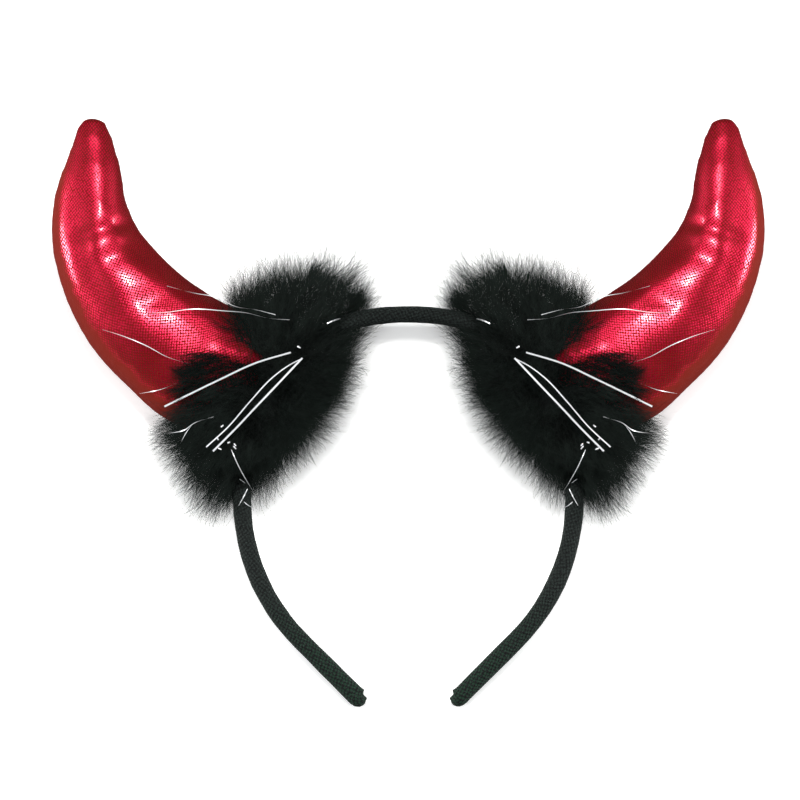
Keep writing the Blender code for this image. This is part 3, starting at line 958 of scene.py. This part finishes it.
def plumes(rng, band):
    """Curved plumes that radiate from where the collar is tied, each a fan of barbs."""
    roots, ends = [], []
    for direction in ball_directions(TUFTS * 2):
        hit = collar_point(direction)
        if direction[2] < -0.75 or hit is None or np.linalg.norm(hit - SEAT_POINT) < 13 * MM:
            continue
        copies = int(rng.random() < 0.55) + int(round(2 * float(short_core(direction))))
        for _ in range(copies):
            roots.append(SEAT_POINT + (hit - SEAT_POINT) * rng.uniform(0.35, 0.75))
            ends.append(hit)
    lying_roots, lying_ends = lying_tufts(rng)
    roots = np.vstack([roots, lying_roots])
    ends = np.vstack([ends, lying_ends])
    lying = np.arange(len(roots)) >= len(roots) - len(lying_roots)
    outward = unit(ends - SEAT_POINT)
    thin = thin_side(outward) * ~lying
    roots -= outward * (thin * 7 * MM)[:, None]
    ends -= outward * (thin * rng.uniform(3, 8, len(thin)) * MM)[:, None]
    tie = np.array([flat_x(TIE[0]), flat_y(TIE[1]), 6 * MM])
    heading = outward * 0.75 + unit(ends - tie) * 0.45 + rng.normal(0, 0.26, roots.shape)
    heading[:, 2] *= 0.85
    heading[lying] = unit(ends - roots)[lying] + rng.normal(0, 0.12, (int(lying.sum()), 3))
    heading = unit(heading)
    sideways = 1 - np.abs(outward[:, 2])
    length = np.linalg.norm(ends - roots, axis=1) + rng.uniform(-7.5, -0.5, len(roots)) * MM * sideways
    length = np.clip(length, 7 * MM, 30 * MM)
    bend = np.cross(heading, rng.normal(0, 1, heading.shape))
    bend *= rng.uniform(-0.30, 0.30, (len(bend), 1))

    shape = (len(roots), BARBS, 3)
    start = np.sort(rng.uniform(0.0, 0.92, (len(roots), BARBS, 1)), axis=1)
    shaft = length[:, None, None]
    foot = roots[:, None] + heading[:, None] * shaft * start + bend[:, None] * shaft * start**2
    along = unit(heading[:, None] + 2 * bend[:, None] * start)
    fan = unit(np.cross(along, rng.normal(0, 1, shape)))
    spread = rng.uniform(0.15, 0.7, (len(roots), BARBS, 1))
    way = unit(along * (1 - 0.45 * spread) + fan * spread)
    most = shaft * (1 - start) + 2.0 * MM
    barb = np.minimum(most, shaft * rng.uniform(0.35, 0.70, (len(roots), BARBS, 1)))
    curl = np.cross(way, rng.normal(0, 1, way.shape)) * 0.35 + along * 0.25
    t = np.linspace(0, 1, BARB_STEPS)[None, None, :, None]
    line = foot[:, :, None] + barb[:, :, None] * (way[:, :, None] * t + curl[:, :, None] * t**2)
    line = settled(line.reshape(-1, BARB_STEPS, 3), band)
    # The ends at the edge are lit through, and those over the middle stay dark.
    lit = np.repeat(0.2 + 0.8 * sideways**2, BARBS)[:, None]
    shade = rng.uniform(0, 0.35, (len(line), 1)) + 0.65 * np.linspace(0, 1, BARB_STEPS)[None, :] ** 2
    line, keep = kept_off_the_bare_cloth(rng, line)
    return barb_mesh(rng, line, BARB_HALF, (shade * lit)[keep])


def wisps(rng, band):
    """Pointed wisps of the finest barbs, which fade out all round the collar's edge."""
    roots, ways, lengths, breadths = [], [], [], []
    for direction in ball_directions(WISPS * 2):
        if direction[2] < -0.6 or rng.random() < abs(direction[2]) * 0.8:
            continue
        hit = collar_point(direction)
        if hit is None or np.linalg.norm(hit - SEAT_POINT) < 16 * MM or len(roots) >= WISPS:
            continue
        thin = float(thin_side(direction[None])[0])
        way = unit(direction + rng.normal(0, 0.24, 3))
        level = 1 - abs(direction[2])
        roots.append(hit - way * (rng.uniform(4, 8) + 8 * thin) * MM)
        ways.append(way)
        lengths.append((rng.uniform(11, 26) * (0.35 + 0.65 * level) + 6 * thin) * MM)
        breadths.append((rng.uniform(1.2, 2.8) + 0.8 * thin) * MM)
    for start, end, count in LONG_WISPS:
        for _ in range(count):
            root = np.array([flat_x(start[0]), flat_y(start[1]), 0]) + rng.normal(0, 1.3 * MM, 3)
            tip = np.array([flat_x(end[0]), flat_y(end[1]), 0]) + rng.normal(0, 1.0 * MM, 3)
            roots.append(root)
            ways.append(unit(tip - root))
            lengths.append(np.linalg.norm(tip - root) * rng.uniform(0.8, 1.0))
            breadths.append(1.3 * MM)
    roots, ways, lengths, breadths = (np.array(values) for values in (roots, ways, lengths, breadths))
    shape = (len(roots), WISP_BARBS, 3)
    foot = roots[:, None] + rng.normal(0, 1, shape) * breadths[:, None, None]
    way = unit(ways[:, None] + rng.normal(0, 0.18, shape))
    barb = lengths[:, None, None] * rng.uniform(0.3, 1.1, (len(roots), WISP_BARBS, 1))
    curl = np.cross(way, rng.normal(0, 1, shape)) * 0.24
    drawn = (roots[:, None] - foot) * 0.55
    t = np.linspace(0, 1, WISP_STEPS)[None, None, :, None]
    line = foot[:, :, None] + (way * barb + drawn)[:, :, None] * t + (curl * barb)[:, :, None] * t**2
    line = settled(line.reshape(-1, WISP_STEPS, 3), band)
    shade = rng.uniform(0.1, 0.5, (len(line), 1)) + 0.5 * np.linspace(0, 1, WISP_STEPS)[None, :] ** 2
    line, keep = kept_off_the_bare_cloth(rng, line)
    return barb_mesh(rng, line, WISP_HALF, shade[keep])


# Tinsel


def taut_over(heights):
    """The heights of a springy strip that touches only the highest places under it."""
    count = len(heights)
    kept = []
    for number in range(count):
        while len(kept) > 1:
            a, b = kept[-2], kept[-1]
            chord = heights[a] + (heights[number] - heights[a]) * (b - a) / (number - a)
            if heights[b] > chord:
                break
            kept.pop()
        kept.append(number)
    taut = np.interp(np.arange(count), kept, heights[kept])
    for _ in range(12):
        taut = np.convolve(np.pad(taut, 1, "edge"), (0.25, 0.5, 0.25), "valid")
    return taut


def tinsel_ground(band):
    """What the tinsel lies on: the horn, the collar, or the hoop where that is bare."""
    columns, rows = HORN_GRID[:2]
    height = np.maximum(HORN_GRID[2] + 1.3 * MM, COLLAR_GRID[2])
    cells = np.array([(x, y) for x in columns for y in rows])
    gap, _, _ = distance_to_line(cells, band)
    bare = (bare_hoop(cells) > 0.5) & (gap < 3.4 * MM)
    round_front = 4.0 * MM * np.sqrt(np.clip(1 - (gap / (3.5 * MM)) ** 2, 0, 1))
    height = np.where(bare.reshape(height.shape), round_front.reshape(height.shape), height)
    return columns, rows, height


def tinsel_mesh(surface):
    """All the strands of tinsel on one side, each a thin strip laid over the horn and the down."""
    points, faces, coordinates = [], [], []
    for places, width, lift, twist in TINSEL:
        count = 40 if len(places) > 2 else 8
        line = sampled(places, count)
        least = read_grid(surface, 2, line[:, 0], line[:, 1])
        least = np.where(least < -0.5, 0, least) + lift * MM
        height = taut_over(least)
        line = raised(line, height[:, None])
        tangent = np.gradient(line, axis=0)
        tangent /= np.linalg.norm(tangent, axis=1)[:, None]
        side = np.column_stack([-tangent[:, 1], tangent[:, 0], np.zeros(count)])
        turn = 2 * math.pi * twist * (np.linspace(0, 1, count) - 0.5) + 0.2
        wide = side * np.cos(turn)[:, None] + np.array([0, 0, 1]) * np.sin(turn)[:, None]
        wide = wide * width / 2 * MM
        centre = np.column_stack([line, height])
        first = len(points)
        for number in range(count):
            points.extend([centre[number] - wide[number], centre[number] + wide[number]])
            coordinates.extend([(number * 0.8, 0.0), (number * 0.8, width)])
        for number in range(count - 1):
            a = first + number * 2
            faces.append((a, a + 1, a + 3, a + 2))
    mesh = mesh_from("tinsel", np.array(points), faces)
    set_uv(mesh, np.array(coordinates))
    return mesh


HOOP_LINE = hoop_line()[0]
CROWN_LINE = HOOP_LINE[HOOP_LINE[:, 0] < 0.01][::4]

for piece in dress("horn_cover", horn_cover(), FOIL_KNIT, "horn"):
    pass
sleeve = sleeve_mesh()
set_points(sleeve, to_world(off_the_floor(points_of(sleeve), 0.02 * MM)))
sleeve.materials.append(SLEEVE)
sleeve = place("knit_sleeve", sleeve)
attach(sleeve, "root")
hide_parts("headband")
dress("marabou_core", core_mesh(), CORD, "marabou")
dress("marabou_plumes", plumes(np.random.default_rng(29), CROWN_LINE), DOWN)
dress("marabou_wisps", wisps(np.random.default_rng(31), CROWN_LINE), DOWN)
dress("tinsel", tinsel_mesh(tinsel_ground(CROWN_LINE)), FILM)

# Stage


def floor():
    size = 3.0
    corners = np.array([(-size, -size, 0), (size, -size, 0), (size, size, 0), (-size, size, 0)])
    mesh = mesh_from("floor", corners - (0, 0, 0.02 * MM), [(0, 1, 2, 3)], smooth=False)
    made, tree = new_material("pale studio floor")
    # A light table's opal floor glows a little, which thins the shadows.
    finish_material(tree, {
        "Base Color": linear("#f2f2f0"),
        "Roughness": 0.9,
        "Emission Color": linear("#ffffff"),
        "Emission Strength": 0.4,
    })
    mesh.materials.append(made)
    item = place("floor", mesh)
    item.visible_glossy = False


def lamp(name, place_at, aim, size, watts, glossy):
    light = bpy.data.lights.new(name, "AREA")
    light.shape = "DISK"
    light.size = size
    light.energy = watts
    item = bpy.data.objects.new(name, light)
    bpy.context.scene.collection.objects.link(item)
    start, end = (Vector(to_world(np.array(point))) for point in (place_at, aim))
    item.location = start
    item.rotation_euler = (end - start).to_track_quat("-Z", "Y").to_euler()
    item.visible_glossy = glossy


def stage():
    floor()
    lamp("overhead fill", (0, 0.0, 1.6), (0, 0, 0), 1.6, 3.6, False)
    lamp("soft key over the crown", (0, 0.42, 0.9), (0, 0.05, 0), 0.60, 2.0, True)
    lamp("hard key over the crown", (0, 0.41, 0.88), (0, 0.05, 0), 0.18, 6.0, True)
    for side in (-1, 1):
        lamp("side", (side * 0.80, 0.10, 0.20), (side * 0.1, 0.05, 0), 0.32, 5.5, True)
    world = bpy.data.worlds.new("pale room")
    world.use_nodes = True
    background = world.node_tree.nodes["Background"]
    background.inputs["Color"].default_value = linear("#e8ecf0")
    background.inputs["Strength"].default_value = 0.42
    world.cycles_visibility.glossy = False
    bpy.context.scene.world = world
    bpy.context.scene.view_settings.view_transform = "Standard"


def camera():
    """Square on to the hoop's front, from far away, as the photograph is taken."""
    data = bpy.data.cameras.new("camera")
    data.sensor_width = SENSOR
    data.lens = LENS
    item = bpy.data.objects.new("camera", data)
    bpy.context.scene.collection.objects.link(item)
    at = np.array([flat_x(PHOTO_CENTRE[0]), flat_y(PHOTO_CENTRE[1]), CAMERA_HEIGHT])
    pose = np.eye(4)
    pose[:3, :3] = AXES
    pose[:3, 3] = to_world(at)
    item.matrix_world = Matrix(pose.tolist())
    data.clip_start = 0.1
    data.clip_end = 20
    bpy.context.scene.camera = item


stage()
camera()
